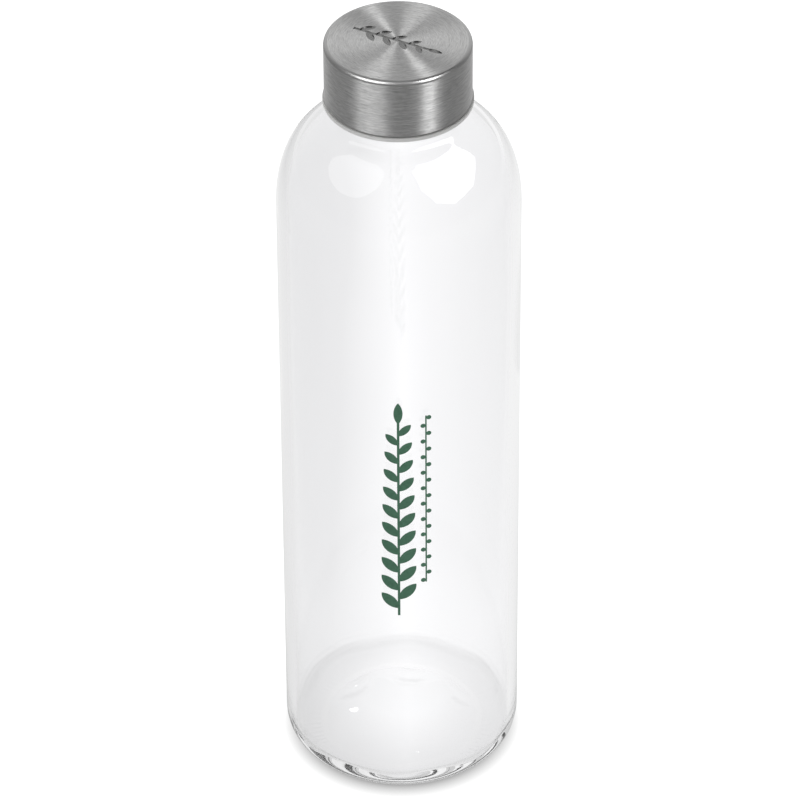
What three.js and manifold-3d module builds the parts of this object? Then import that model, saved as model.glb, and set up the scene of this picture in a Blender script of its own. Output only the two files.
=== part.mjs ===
// A glass water bottle with a steel screw cap. Millimetres, +Z up.
// The origin is the centre of the ring that the bottle stands on.
//
// The bottle is one blown piece of glass with a printed leaf sprig and berry twig.
// The cap is a steel shell glued over a threaded plastic liner that holds a sealing ring.

import * as THREE from "three";
import { mergeVertices } from "three/addons/utils/BufferGeometryUtils.js";
import Module from "manifold-3d";

const wasm = await Module();
wasm.setup();

// ---- Glass bottle ----
const LIP_HEIGHT = 244.15; // resting ring to the top of the lip
const BODY_RADIUS = 35;
const GLASS_WALL = 2.8;

const BASE_THICKNESS = 4.2; // glass under the middle of the inner floor
const PUNT_RISE = 2.4; // how far the middle of the underside stands above the resting ring
const PUNT_RADIUS = 22.6; // inner edge of the resting ring
const HEEL_REACH = 9.9; // from the outer edge of the resting ring out to the body wall
const HEEL_HEIGHT = 9.9;
const HEEL_FULLNESS = 2.67; // superellipse exponent, 2 is a plain ellipse
const INNER_HEEL_REACH = 2.8; // rounding between the inner floor and the inner wall
const INNER_HEEL_HEIGHT = 3.2;
const INNER_FLOOR_CROWN = 0.9; // how much the inner floor bulges up in the middle

const NECK_RADIUS = 17.1; // outside of the neck between the thread turns
const NECK_HEIGHT = 21.4; // crown of the shoulder to the top of the lip
const SHOULDER_HEIGHT = 29.6; // top of the straight wall to the crown of the shoulder
const SHOULDER_CROWN_RADIUS = 12.2; // where the shoulder curve would run level, inside the neck
const SHOULDER_FULLNESS = 2.29;
const NECK_FILLET_REACH = 5.4; // from the neck wall out to where the shoulder curve takes over
const NECK_FILLET_RISE = 4.2;
const LIP_ROUNDING = 1.1;

// ---- Screw thread ----
const THREAD_PITCH = 4.2;
const THREAD_TURNS = 1.5;
const THREAD_DEPTH = 1.3;
const THREAD_ROOT_WIDTH = 2.6;
const THREAD_CREST_WIDTH = 1.2;
const THREAD_DROP = 3.3; // top of the lip to the middle of the highest turn
const THREAD_FADE_TURNS = 0.08; // each end of a thread fades out over this much of a turn
const THREAD_RADIAL_CLEARANCE = 0.3;
const THREAD_AXIAL_CLEARANCE = 0.45;
const LINER_THREAD_INSET = 3.95; // underside of the cap to the middle of its lowest turn

// ---- Cap ----
const GASKET_THICKNESS = 1.6;
const GASKET_WIDTH = 4.8;
const LINER_TOP_THICKNESS = 1.1;
const LINER_WALL = 1.4;
const LINER_EDGE_ROUNDING = 0.5;
const FLANGE_HEIGHT = 1.3; // plastic ring showing under the steel shell
const FLANGE_OVERHANG = 0.45; // how far that ring stands proud of the steel
const LOCATOR_WIDTH = 1.6; // wall of the low ring that keeps the gasket central
const ADHESIVE_THICKNESS = 0.25;
const ADHESIVE_MARGIN = 1.2; // bare border round the glue disc
const SHEET_THICKNESS = 0.5;
const RIM_ROUNDING = 1.25; // polished edge between the top and the side of the shell
const CAP_SHOULDER_GAP = 5.75; // crown of the shoulder to the underside of the cap

// ---- Gaps between pieces that touch ----
const SEAT_GAP = 0.25; // gasket against the lip and the liner
const BOND_GAP = 0.15; // each face of the adhesive
const SLEEVE_GAP = 0.3; // shell around the liner

// ---- Debossed sprig on the cap ----
const DEBOSS_DEPTH = 0.32;
const DEBOSS_LENGTH = 28;
const DEBOSS_ANGLE = -28; // degrees from +X
const DEBOSS_STEM_WIDTH = 0.9;
const DEBOSS_LEAF_LENGTH = 5;
const DEBOSS_LEAF_WIDTH = 2.4;
const DEBOSS_LEAF_PAIRS = 4;

// ---- Print on the glass ----
const INK_THICKNESS = 0.12;
const INK_GAP = 0.12; // clear of the glass, which is flat between its edges
const SPRIG_BOTTOM = 70;
const SPRIG_LENGTH = 78;
const SPRIG_OFFSET = -0.6; // along the wall from the front line
const SPRIG_STEM_WIDTH = 0.75;
const SPRIG_LEAF_LENGTH = 7.6;
const SPRIG_LEAF_WIDTH = 3.9;
const SPRIG_LEAF_PAIRS = 10;
const TWIG_BOTTOM = 82;
const TWIG_LENGTH = 61;
const TWIG_OFFSET = 7.4;
const TWIG_STEM_WIDTH = 0.45;
const TWIG_BERRY_RADIUS = 0.75;
const TWIG_BERRY_REACH = 0.85; // from the stem to the middle of a berry
const TWIG_BERRIES = 22;
const LEAF_LEAN = 42; // degrees between a leaf and its stem
const FRONT = -90; // degrees: the print faces -Y

// ---- Fineness ----
const ROUND_SEGMENTS = 60; // around each turned piece
const THREAD_STEPS_PER_TURN = 40;
const CURVE_STEPS = 8; // along each curved stretch of an outline
const FILLET_STEPS = 5;
const ROUNDING_STEPS = 3;
const FLOOR_STEPS = 4;
const LEAF_STEPS = 4; // along each side of a leaf
const BERRY_STEPS = 10;

// ---- Sizes that follow from the ones above ----
const TURN = 2 * Math.PI;
const crownHeight = LIP_HEIGHT - NECK_HEIGHT;
const shoulderStart = crownHeight - SHOULDER_HEIGHT;
const ringOuterRadius = BODY_RADIUS - HEEL_REACH;

const flangeBottom = crownHeight + CAP_SHOULDER_GAP;
const flangeTop = flangeBottom + FLANGE_HEIGHT;
const shellBottom = flangeTop + SEAT_GAP;
const gasketBottom = LIP_HEIGHT + SEAT_GAP;
const gasketTop = gasketBottom + GASKET_THICKNESS;
const linerCeiling = gasketTop + SEAT_GAP;
const linerTop = linerCeiling + LINER_TOP_THICKNESS;
const adhesiveBottom = linerTop + BOND_GAP;
const adhesiveTop = adhesiveBottom + ADHESIVE_THICKNESS;
const shellCeiling = adhesiveTop + BOND_GAP;
const shellTop = shellCeiling + SHEET_THICKNESS;

const threadRadius = NECK_RADIUS + THREAD_DEPTH;
const linerBoreRadius = threadRadius + THREAD_RADIAL_CLEARANCE;
const linerRadius = linerBoreRadius + LINER_WALL;
const shellInnerRadius = linerRadius + SLEEVE_GAP;
const shellRadius = shellInnerRadius + SHEET_THICKNESS;
const flangeRadius = shellRadius + FLANGE_OVERHANG;
const gasketRadius = linerBoreRadius - SLEEVE_GAP;
const gasketHoleRadius = gasketRadius - GASKET_WIDTH;
const locatorRadius = gasketHoleRadius - SLEEVE_GAP;

// ---- Materials ----
const glass = new THREE.MeshStandardMaterial({
  color: 0xf4f7f7,
  roughness: 0.02,
  metalness: 0,
  transparent: true,
  opacity: 0.35,
});
const ink = new THREE.MeshStandardMaterial({ color: 0x446c55, roughness: 0.5, metalness: 0 });
const steel = new THREE.MeshStandardMaterial({ color: 0xa9a9a7, roughness: 0.32, metalness: 1 });
const plastic = new THREE.MeshStandardMaterial({ color: 0xd6d6d4, roughness: 0.45, metalness: 0 });
const silicone = new THREE.MeshStandardMaterial({ color: 0xf0f0ec, roughness: 0.6, metalness: 0 });
const glue = new THREE.MeshStandardMaterial({ color: 0xcfc9b4, roughness: 0.4, metalness: 0 });

// ---- Outlines in the plane of radius and height ----

const at = (radius, height) => new THREE.Vector2(radius, height);

// A quarter of a superellipse about a centre. It starts on the side given by from, in degrees:
// 0 is outward, 90 is up and -90 is down, and it ends on the side given by to.
function roundCorner(centre, reach, rise, fullness, from, to, steps) {
  const points = [];
  for (let i = 0; i <= steps; i += 1) {
    const angle = THREE.MathUtils.degToRad(from + ((to - from) * i) / steps);
    const across = Math.sign(Math.cos(angle)) * Math.abs(Math.cos(angle)) ** (2 / fullness);
    const up = Math.sign(Math.sin(angle)) * Math.abs(Math.sin(angle)) ** (2 / fullness);
    points.push(at(centre.x + reach * across, centre.y + rise * up));
  }
  return points;
}

// A shallow dome from its middle out to its edge. Its height falls with the square of the radius.
function dome(edgeRadius, edgeHeight, rise, steps) {
  const points = [];
  for (let i = 0; i <= steps; i += 1) {
    const share = i / steps;
    points.push(at(edgeRadius * share, edgeHeight + rise * (1 - share ** 2)));
  }
  return points;
}

// The outside of the shoulder at a radius, from the superellipse itself.
function shoulderHeightAt(radius) {
  const reach = BODY_RADIUS - SHOULDER_CROWN_RADIUS;
  const across = (radius - SHOULDER_CROWN_RADIUS) / reach;
  const up = (1 - across ** SHOULDER_FULLNESS) ** (1 / SHOULDER_FULLNESS);
  return shoulderStart + SHOULDER_HEIGHT * up;
}

// The hollow curve that carries the shoulder into the neck. It leaves the shoulder along the
// shoulder's own slope and meets the neck wall upright.
function neckFillet(steps) {
  const foot = at(NECK_RADIUS + NECK_FILLET_REACH, 0);
  foot.y = shoulderHeightAt(foot.x);
  const nudge = 0.01;
  const slope = (shoulderHeightAt(foot.x - nudge) - foot.y) / nudge;
  const head = at(NECK_RADIUS, foot.y + NECK_FILLET_RISE);
  const hold = 0.55; // share of the reach and rise that each end keeps its own direction
  const curve = new THREE.CubicBezierCurve(
    foot,
    at(foot.x - NECK_FILLET_REACH * hold, foot.y + NECK_FILLET_REACH * hold * slope),
    at(head.x, head.y - NECK_FILLET_RISE * hold),
    head,
  );
  return curve.getPoints(steps);
}

// The outside of the glass from the top of the straight wall to the foot of the lip.
function shoulderAndNeck() {
  const reach = BODY_RADIUS - SHOULDER_CROWN_RADIUS;
  const footRadius = NECK_RADIUS + NECK_FILLET_REACH;
  const lastCosine = ((footRadius - SHOULDER_CROWN_RADIUS) / reach) ** (SHOULDER_FULLNESS / 2);
  const lastAngle = THREE.MathUtils.radToDeg(Math.acos(lastCosine));
  const shoulder = roundCorner(
    at(SHOULDER_CROWN_RADIUS, shoulderStart),
    reach,
    SHOULDER_HEIGHT,
    SHOULDER_FULLNESS,
    0,
    lastAngle,
    CURVE_STEPS,
  );
  return [...shoulder.slice(0, -1), ...neckFillet(FILLET_STEPS)];
}

// The same line moved square to itself, to the left of its direction of travel.
function movedLeft(points, distance) {
  return points.map((point, i) => {
    const before = points[Math.max(i - 1, 0)];
    const after = points[Math.min(i + 1, points.length - 1)];
    const along = after.clone().sub(before).normalize();
    return at(point.x - along.y * distance, point.y + along.x * distance);
  });
}

// Drops points that coincide with the one before them.
function tidy(points) {
  const least = 0.01;
  return points.filter((point, i) => i === 0 || point.distanceTo(points[i - 1]) > least);
}

// ---- Solids ----

// An outline turned about the Z axis.
function turned(points) {
  const geometry = new THREE.LatheGeometry(tidy(points), ROUND_SEGMENTS);
  geometry.rotateX(Math.PI / 2);
  geometry.deleteAttribute("normal");
  geometry.deleteAttribute("uv");
  return mergeVertices(geometry);
}

// A flat outline given a thickness along +Z from a level.
function slab(shape, level, thickness, curveSegments) {
  const geometry = new THREE.ExtrudeGeometry(shape, {
    depth: thickness,
    bevelEnabled: false,
    curveSegments,
  });
  geometry.translate(0, 0, level);
  return geometry;
}

function toSolid(geometry) {
  const bare = geometry.clone();
  bare.deleteAttribute("normal");
  bare.deleteAttribute("uv");
  const merged = mergeVertices(bare);
  return new wasm.Manifold(
    new wasm.Mesh({
      numProp: 3,
      vertProperties: merged.attributes.position.array,
      triVerts: new Uint32Array(merged.index.array),
    }),
  );
}

function toGeometry(solid) {
  const { vertProperties, triVerts } = solid.getMesh();
  const geometry = new THREE.BufferGeometry();
  geometry.setAttribute("position", new THREE.BufferAttribute(vertProperties, 3));
  geometry.setIndex(new THREE.BufferAttribute(triVerts, 1));
  return geometry;
}

const joined = (solids) => solids.reduce((whole, solid) => whole.add(solid));

// Moves every point of a geometry by a function of its coordinates.
function reshaped(geometry, move) {
  const position = geometry.attributes.position;
  const point = new THREE.Vector3();
  for (let i = 0; i < position.count; i += 1) {
    move(point.fromBufferAttribute(position, i));
    position.setXYZ(i, point.x, point.y, point.z);
  }
  return geometry;
}

// A helical ridge. Its section is four corners in radius and height, from foot to crest, and its
// middle line rises one pitch for each turn from the start height, which it leaves at startTurn
// turns from +X. The foot stays where it is and the crest sinks towards it at both ends.
function ridge({ footRadius, crestRadius, footWidth, crestWidth, startHeight, startTurn }) {
  const section = new THREE.Shape([
    at(footRadius, -footWidth / 2),
    at(crestRadius, -crestWidth / 2),
    at(crestRadius, crestWidth / 2),
    at(footRadius, footWidth / 2),
  ]);
  const bar = new THREE.ExtrudeGeometry(section, {
    depth: THREAD_TURNS,
    steps: Math.round(THREAD_TURNS * THREAD_STEPS_PER_TURN),
    bevelEnabled: false,
  });
  const leastRise = 0.1; // share of the ridge's rise that is left at its very ends
  return reshaped(bar, (point) => {
    const turnsRun = THREAD_TURNS - point.z;
    const fade = Math.min(turnsRun, point.z, THREAD_FADE_TURNS) / THREAD_FADE_TURNS;
    const rise = leastRise + (1 - leastRise) * fade;
    const radius = footRadius + (point.x - footRadius) * rise;
    const height = startHeight + point.y * rise + THREAD_PITCH * turnsRun;
    const angle = (startTurn + turnsRun) * TURN;
    point.set(radius * Math.cos(angle), radius * Math.sin(angle), height);
  });
}

// How wide the glass thread is at a radius, measured along the axis.
function glassThreadWidth(radius) {
  const share = (radius - NECK_RADIUS) / THREAD_DEPTH;
  return THREAD_ROOT_WIDTH + (THREAD_CREST_WIDTH - THREAD_ROOT_WIDTH) * share;
}

// What is left for the cap's thread beside the glass thread at a radius.
const linerThreadWidth = (radius) =>
  THREAD_PITCH - glassThreadWidth(radius) - 2 * THREAD_AXIAL_CLEARANCE;

const lowestGlassTurn = LIP_HEIGHT - THREAD_DROP - THREAD_TURNS * THREAD_PITCH;
const THREAD_EMBED = 0.4; // how far each ridge's foot is sunk into the wall that carries it

// ---- Leaf sprigs, drawn flat with the stem along +Y from the origin ----

// A pointed leaf from a point on the stem. side is 1 for the right and -1 for the left.
function leaf(foot, length, width, side) {
  const lean = THREE.MathUtils.degToRad(90 - side * LEAF_LEAN);
  const along = at(Math.cos(lean), Math.sin(lean));
  const across = at(-along.y, along.x);
  const place = (share, offset) =>
    foot.clone().addScaledVector(along, share * length).addScaledVector(across, offset * width);
  const tip = place(1, 0);
  const outward = [place(0.3, 0.62), place(0.78, 0.5), tip];
  const back = [place(0.78, -0.5), place(0.3, -0.62), foot];
  const shape = new THREE.Shape();
  shape.moveTo(foot.x, foot.y);
  for (const [a, b, c] of [outward, back]) {
    shape.bezierCurveTo(a.x, a.y, b.x, b.y, c.x, c.y);
  }
  return shape;
}

const stem = (width, length) =>
  new THREE.Shape([at(-width / 2, 0), at(width / 2, 0), at(width / 2, length), at(-width / 2, length)]);

// A straight stem with pairs of leaves and one leaf at its tip.
function sprigShapes({ length, stemWidth, leafLength, leafWidth, pairs }) {
  const rise = leafLength * Math.cos(THREE.MathUtils.degToRad(LEAF_LEAN));
  const tipLeafStart = length - leafLength;
  const bareStem = 0.35 * leafLength;
  const spacing = (tipLeafStart + leafLength * 0.25 - bareStem - rise * 0.5) / pairs;
  const shapes = [stem(stemWidth, tipLeafStart + leafLength / 2)];
  for (let i = 0; i < pairs; i += 1) {
    const taper = 1 - 0.35 * (i / pairs) ** 2;
    for (const side of [-1, 1]) {
      const foot = at(0, bareStem + spacing * (i + (side > 0 ? 0.5 : 0)));
      shapes.push(leaf(foot, leafLength * taper, leafWidth * taper, side));
    }
  }
  const upright = leaf(at(0, 0), leafLength, leafWidth * 0.8, 1);
  const turn = THREE.MathUtils.degToRad(LEAF_LEAN);
  const points = upright.getPoints(LEAF_STEPS).map((point) => point.rotateAround(at(0, 0), turn));
  shapes.push(new THREE.Shape(points.map((point) => at(point.x, point.y + tipLeafStart))));
  return shapes;
}

// A thin stem with round berries on short stalks, left and right in turn.
function twigShapes() {
  const shapes = [stem(TWIG_STEM_WIDTH, TWIG_LENGTH)];
  const spacing = (TWIG_LENGTH - 2 * TWIG_BERRY_RADIUS) / (TWIG_BERRIES - 1);
  for (let i = 0; i < TWIG_BERRIES; i += 1) {
    const side = i % 2 ? 1 : -1;
    const berry = new THREE.Shape();
    const height = TWIG_BERRY_RADIUS + spacing * i;
    berry.absarc(side * TWIG_BERRY_REACH, height, TWIG_BERRY_RADIUS, 0, TURN);
    shapes.push(new THREE.Shape(berry.getPoints(BERRY_STEPS / 2)));
  }
  return shapes;
}

const flatSolid = (shapes, level, thickness) =>
  joined(shapes.map((shape) => toSolid(slab(shape, level, thickness, LEAF_STEPS))));

// Lays a flat solid round the straight wall of the bottle, with its stem upright.
function wrappedOnBody(solid, offset, bottom) {
  return reshaped(toGeometry(solid), (point) => {
    const radius = BODY_RADIUS + INK_GAP + point.z;
    const angle = THREE.MathUtils.degToRad(FRONT) + (point.x + offset) / BODY_RADIUS;
    point.set(radius * Math.cos(angle), radius * Math.sin(angle), bottom + point.y);
  });
}

// ---- Pieces ----

function glassBottle() {
  const punt = dome(PUNT_RADIUS, 0, PUNT_RISE, FLOOR_STEPS);
  const heelCentre = at(ringOuterRadius, HEEL_HEIGHT);
  const heel = roundCorner(
    heelCentre,
    HEEL_REACH,
    HEEL_HEIGHT,
    HEEL_FULLNESS,
    -90,
    0,
    CURVE_STEPS,
  );
  const upper = shoulderAndNeck();
  const innerWallRadius = BODY_RADIUS - GLASS_WALL;
  const boreRadius = NECK_RADIUS - GLASS_WALL;
  const innerUpper = movedLeft(upper, GLASS_WALL).reverse();
  innerUpper[innerUpper.length - 1].x = innerWallRadius;
  innerUpper[0].x = boreRadius;

  const lipOuter = at(NECK_RADIUS - LIP_ROUNDING, LIP_HEIGHT - LIP_ROUNDING);
  const lipInner = at(boreRadius + LIP_ROUNDING, LIP_HEIGHT - LIP_ROUNDING);
  const lip = [
    ...roundCorner(lipOuter, LIP_ROUNDING, LIP_ROUNDING, 2, 0, 90, ROUNDING_STEPS),
    ...roundCorner(lipInner, LIP_ROUNDING, LIP_ROUNDING, 2, 90, 180, ROUNDING_STEPS),
  ];

  const floorMiddle = PUNT_RISE + BASE_THICKNESS;
  const floorEdge = floorMiddle - INNER_FLOOR_CROWN;
  const floorRadius = innerWallRadius - INNER_HEEL_REACH;
  const innerHeel = roundCorner(
    at(floorRadius, floorEdge + INNER_HEEL_HEIGHT),
    INNER_HEEL_REACH,
    INNER_HEEL_HEIGHT,
    2,
    0,
    -90,
    CURVE_STEPS,
  );
  const floor = dome(floorRadius, floorEdge, INNER_FLOOR_CROWN, FLOOR_STEPS).reverse();

  const body = toSolid(
    turned([...punt, ...heel, ...upper, ...lip, ...innerUpper, ...innerHeel, ...floor]),
  );
  const thread = ridge({
    footRadius: NECK_RADIUS - THREAD_EMBED,
    crestRadius: threadRadius,
    footWidth: THREAD_ROOT_WIDTH,
    crestWidth: THREAD_CREST_WIDTH,
    startHeight: lowestGlassTurn,
    startTurn: 0,
  });
  return toGeometry(body.add(toSolid(thread)));
}

function capLiner() {
  const rounding = LINER_EDGE_ROUNDING;
  const topEdge = at(linerRadius - rounding, linerTop - rounding);
  const body = turned([
    at(0, linerCeiling),
    at(locatorRadius - LOCATOR_WIDTH, linerCeiling),
    at(locatorRadius - LOCATOR_WIDTH, gasketBottom),
    at(locatorRadius, gasketBottom),
    at(locatorRadius, linerCeiling),
    at(linerBoreRadius, linerCeiling),
    at(linerBoreRadius, flangeBottom),
    ...roundCorner(
      at(flangeRadius - rounding, flangeBottom + rounding),
      rounding,
      rounding,
      2,
      -90,
      0,
      ROUNDING_STEPS,
    ),
    at(flangeRadius, flangeTop),
    at(linerRadius, flangeTop),
    ...roundCorner(topEdge, rounding, rounding, 2, 0, 90, ROUNDING_STEPS),
    at(0, linerTop),
  ]);
  const crest = NECK_RADIUS + THREAD_RADIAL_CLEARANCE;
  const startHeight = flangeBottom + LINER_THREAD_INSET;
  const thread = ridge({
    footRadius: linerBoreRadius + THREAD_EMBED,
    crestRadius: crest,
    footWidth: linerThreadWidth(linerBoreRadius),
    crestWidth: linerThreadWidth(crest),
    startHeight,
    // half a pitch below the glass thread all the way round
    startTurn: (startHeight - lowestGlassTurn) / THREAD_PITCH + 0.5,
  });
  return toGeometry(toSolid(body).add(toSolid(thread)));
}

function capGasket() {
  return turned([
    at(gasketHoleRadius, gasketBottom),
    at(gasketRadius, gasketBottom),
    at(gasketRadius, gasketTop),
    at(gasketHoleRadius, gasketTop),
    at(gasketHoleRadius, gasketBottom),
  ]);
}

function capAdhesive() {
  const radius = linerRadius - ADHESIVE_MARGIN;
  return turned([
    at(0, adhesiveBottom),
    at(radius, adhesiveBottom),
    at(radius, adhesiveTop),
    at(0, adhesiveTop),
  ]);
}

function capShell() {
  const outerEdge = at(shellRadius - RIM_ROUNDING, shellTop - RIM_ROUNDING);
  const innerRounding = RIM_ROUNDING - SHEET_THICKNESS;
  const innerEdge = at(shellInnerRadius - innerRounding, shellCeiling - innerRounding);
  const body = turned([
    at(0, shellCeiling),
    ...roundCorner(innerEdge, innerRounding, innerRounding, 2, 90, 0, ROUNDING_STEPS),
    at(shellInnerRadius, shellBottom),
    at(shellRadius, shellBottom),
    ...roundCorner(outerEdge, RIM_ROUNDING, RIM_ROUNDING, 2, 0, 90, ROUNDING_STEPS),
    at(0, shellTop),
  ]);
  const motif = sprigShapes({
    length: DEBOSS_LENGTH,
    stemWidth: DEBOSS_STEM_WIDTH,
    leafLength: DEBOSS_LEAF_LENGTH,
    leafWidth: DEBOSS_LEAF_WIDTH,
    pairs: DEBOSS_LEAF_PAIRS,
  });
  const overcut = 0.5; // the cutter stands this far above the steel
  const cutter = toGeometry(flatSolid(motif, shellTop - DEBOSS_DEPTH, DEBOSS_DEPTH + overcut));
  cutter.translate(0, -DEBOSS_LENGTH / 2, 0);
  cutter.rotateZ(THREE.MathUtils.degToRad(DEBOSS_ANGLE + FRONT));
  return toGeometry(toSolid(body).subtract(toSolid(cutter)));
}

function printSprig() {
  const shapes = sprigShapes({
    length: SPRIG_LENGTH,
    stemWidth: SPRIG_STEM_WIDTH,
    leafLength: SPRIG_LEAF_LENGTH,
    leafWidth: SPRIG_LEAF_WIDTH,
    pairs: SPRIG_LEAF_PAIRS,
  });
  return wrappedOnBody(flatSolid(shapes, 0, INK_THICKNESS), SPRIG_OFFSET, SPRIG_BOTTOM);
}

function printTwig() {
  return wrappedOnBody(flatSolid(twigShapes(), 0, INK_THICKNESS), TWIG_OFFSET, TWIG_BOTTOM);
}

// ---- Assembly ----

function piece(name, geometry, material) {
  const mesh = new THREE.Mesh(geometry, material);
  mesh.name = name;
  return mesh;
}

const bottle = new THREE.Group();
bottle.add(piece("glass_bottle", glassBottle(), glass));
bottle.add(piece("print_sprig", printSprig(), ink));
bottle.add(piece("print_twig", printTwig(), ink));

const cap = new THREE.Group();
cap.add(piece("cap_shell", capShell(), steel));
cap.add(piece("cap_adhesive", capAdhesive(), glue));
cap.add(piece("cap_liner", capLiner(), plastic));
cap.add(piece("cap_gasket", capGasket(), silicone));

const object = new THREE.Group();
object.add(bottle, cap);

export default object;
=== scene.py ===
"""A glass water bottle with a brushed steel screw cap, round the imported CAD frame. Metres, +Z up."""

import math
import random

import bpy
import numpy as np
from mathutils import Matrix, Quaternion, Vector
from mathutils.geometry import delaunay_2d_cdt


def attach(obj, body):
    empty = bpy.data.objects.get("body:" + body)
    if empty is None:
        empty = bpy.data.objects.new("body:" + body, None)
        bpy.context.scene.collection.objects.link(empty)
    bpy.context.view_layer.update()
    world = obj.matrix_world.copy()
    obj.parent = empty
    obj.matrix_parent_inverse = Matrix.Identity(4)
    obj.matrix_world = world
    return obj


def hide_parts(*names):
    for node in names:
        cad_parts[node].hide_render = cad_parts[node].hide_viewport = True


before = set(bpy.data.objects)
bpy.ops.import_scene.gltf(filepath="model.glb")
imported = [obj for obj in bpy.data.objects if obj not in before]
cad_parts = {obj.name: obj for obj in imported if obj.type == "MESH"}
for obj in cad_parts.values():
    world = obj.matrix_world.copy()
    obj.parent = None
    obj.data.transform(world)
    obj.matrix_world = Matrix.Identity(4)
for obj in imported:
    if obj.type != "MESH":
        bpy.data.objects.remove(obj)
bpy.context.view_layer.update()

MM = 0.001
TURN = 2 * math.pi

# ---- Sizes of the bottle, millimetres, as in the CAD source ----
LIP_HEIGHT = 244.15
BODY_RADIUS = 35.0
GLASS_WALL = 2.8
BASE_THICKNESS = 4.2
PUNT_RISE = 2.4
PUNT_RADIUS = 22.6
HEEL_REACH = 9.9
HEEL_HEIGHT = 9.9
HEEL_FULLNESS = 2.67
INNER_HEEL_REACH = 2.8
INNER_HEEL_HEIGHT = 3.2
INNER_FLOOR_CROWN = 0.9
NECK_RADIUS = 17.1
NECK_HEIGHT = 21.4
SHOULDER_HEIGHT = 29.6
SHOULDER_CROWN_RADIUS = 12.2
SHOULDER_FULLNESS = 2.29
NECK_FILLET_REACH = 5.4
NECK_FILLET_RISE = 4.2
LIP_ROUNDING = 1.1
THREAD_PITCH = 4.2
THREAD_TURNS = 1.5
THREAD_DEPTH = 1.3
THREAD_ROOT_WIDTH = 2.6
THREAD_CREST_WIDTH = 1.2
THREAD_DROP = 3.3

# ---- Sizes of the cap, millimetres ----
THREAD_RADIAL_CLEARANCE = 0.3
THREAD_AXIAL_CLEARANCE = 0.45
LINER_THREAD_INSET = 3.95
GASKET_THICKNESS = 1.6
GASKET_WIDTH = 4.8
LINER_TOP_THICKNESS = 1.1
LINER_WALL = 1.4
LINER_EDGE_ROUNDING = 0.5
FLANGE_HEIGHT = 1.3
FLANGE_OVERHANG = 0.45
LOCATOR_WIDTH = 1.6
ADHESIVE_THICKNESS = 0.25
ADHESIVE_MARGIN = 1.2
SHEET_THICKNESS = 0.5
RIM_ROUNDING = 1.25
CAP_SHOULDER_GAP = 5.75
SEAT_GAP = 0.25
BOND_GAP = 0.15
SLEEVE_GAP = 0.3
DEBOSS_DEPTH = 0.32
DEBOSS_SLOPE = 0.04  # how far the pressed walls lean in from edge to floor
DEBOSS_LENGTH = 28.0
DEBOSS_ANGLE = -28.0
DEBOSS_STEM_WIDTH = 0.9
DEBOSS_LEAF_LENGTH = 5.0
DEBOSS_LEAF_WIDTH = 2.4
DEBOSS_LEAF_PAIRS = 4

# ---- Sizes of the prints, millimetres ----
INK_GAP = 0.02
INK_THICKNESS = 0.04
SPRIG_BOTTOM = 70.0
SPRIG_LENGTH = 78.0
SPRIG_OFFSET = -0.6
SPRIG_STEM_WIDTH = 0.75
SPRIG_LEAF_LENGTH = 7.6
SPRIG_LEAF_WIDTH = 3.9
SPRIG_LEAF_PAIRS = 10
TWIG_BOTTOM = 82.0
TWIG_LENGTH = 61.0
TWIG_OFFSET = 7.4
TWIG_STEM_WIDTH = 0.45
TWIG_BERRY_RADIUS = 0.75
TWIG_BERRY_REACH = 0.85
TWIG_BERRIES = 22
LEAF_LEAN = 42.0
FRONT = -90.0

# ---- Sizes that follow ----
crown_height = LIP_HEIGHT - NECK_HEIGHT
shoulder_start = crown_height - SHOULDER_HEIGHT
ring_outer_radius = BODY_RADIUS - HEEL_REACH
inner_wall_radius = BODY_RADIUS - GLASS_WALL
bore_radius = NECK_RADIUS - GLASS_WALL
inner_floor_radius = inner_wall_radius - INNER_HEEL_REACH
inner_floor_top = PUNT_RISE + BASE_THICKNESS
inner_floor_edge = inner_floor_top - INNER_FLOOR_CROWN
inner_heel_top = inner_floor_edge + INNER_HEEL_HEIGHT
lowest_glass_turn = LIP_HEIGHT - THREAD_DROP - THREAD_TURNS * THREAD_PITCH
flange_bottom = crown_height + CAP_SHOULDER_GAP
flange_top = flange_bottom + FLANGE_HEIGHT
shell_bottom = flange_top + SEAT_GAP
gasket_bottom = LIP_HEIGHT + SEAT_GAP
gasket_top = gasket_bottom + GASKET_THICKNESS
liner_ceiling = gasket_top + SEAT_GAP
liner_top = liner_ceiling + LINER_TOP_THICKNESS
adhesive_bottom = liner_top + BOND_GAP
adhesive_top = adhesive_bottom + ADHESIVE_THICKNESS
shell_ceiling = adhesive_top + BOND_GAP
shell_top = shell_ceiling + SHEET_THICKNESS
thread_radius = NECK_RADIUS + THREAD_DEPTH
liner_bore_radius = thread_radius + THREAD_RADIAL_CLEARANCE
liner_radius = liner_bore_radius + LINER_WALL
shell_inner_radius = liner_radius + SLEEVE_GAP
shell_radius = shell_inner_radius + SHEET_THICKNESS
flange_radius = shell_radius + FLANGE_OVERHANG
gasket_radius = liner_bore_radius - SLEEVE_GAP
gasket_hole_radius = gasket_radius - GASKET_WIDTH
locator_radius = gasket_hole_radius - SLEEVE_GAP

ROUND_SEGMENTS = 360


# ---- Outlines in the plane of radius and height ----


def round_corner(centre, reach, rise, fullness, start, end, steps=240):
    """A quarter of a superellipse; angles in degrees, 0 outward and 90 up."""
    points = []
    for i in range(steps + 1):
        angle = math.radians(start + (end - start) * i / steps)
        cosine, sine = math.cos(angle), math.sin(angle)
        across = math.copysign(abs(cosine) ** (2 / fullness), cosine)
        up = math.copysign(abs(sine) ** (2 / fullness), sine)
        points.append((centre[0] + reach * across, centre[1] + rise * up))
    return points


def arc(centre, radius, start, end, steps=240):
    """Part of a circle; angles as for round_corner."""
    return round_corner(centre, radius, radius, 2, start, end, steps)


def dome(edge_radius, edge_height, rise, steps=60):
    """A shallow dome from its middle out to its edge, falling with the square of the radius."""
    points = []
    for i in range(steps + 1):
        share = i / steps
        points.append((edge_radius * share, edge_height + rise * (1 - share**2)))
    return points


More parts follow.
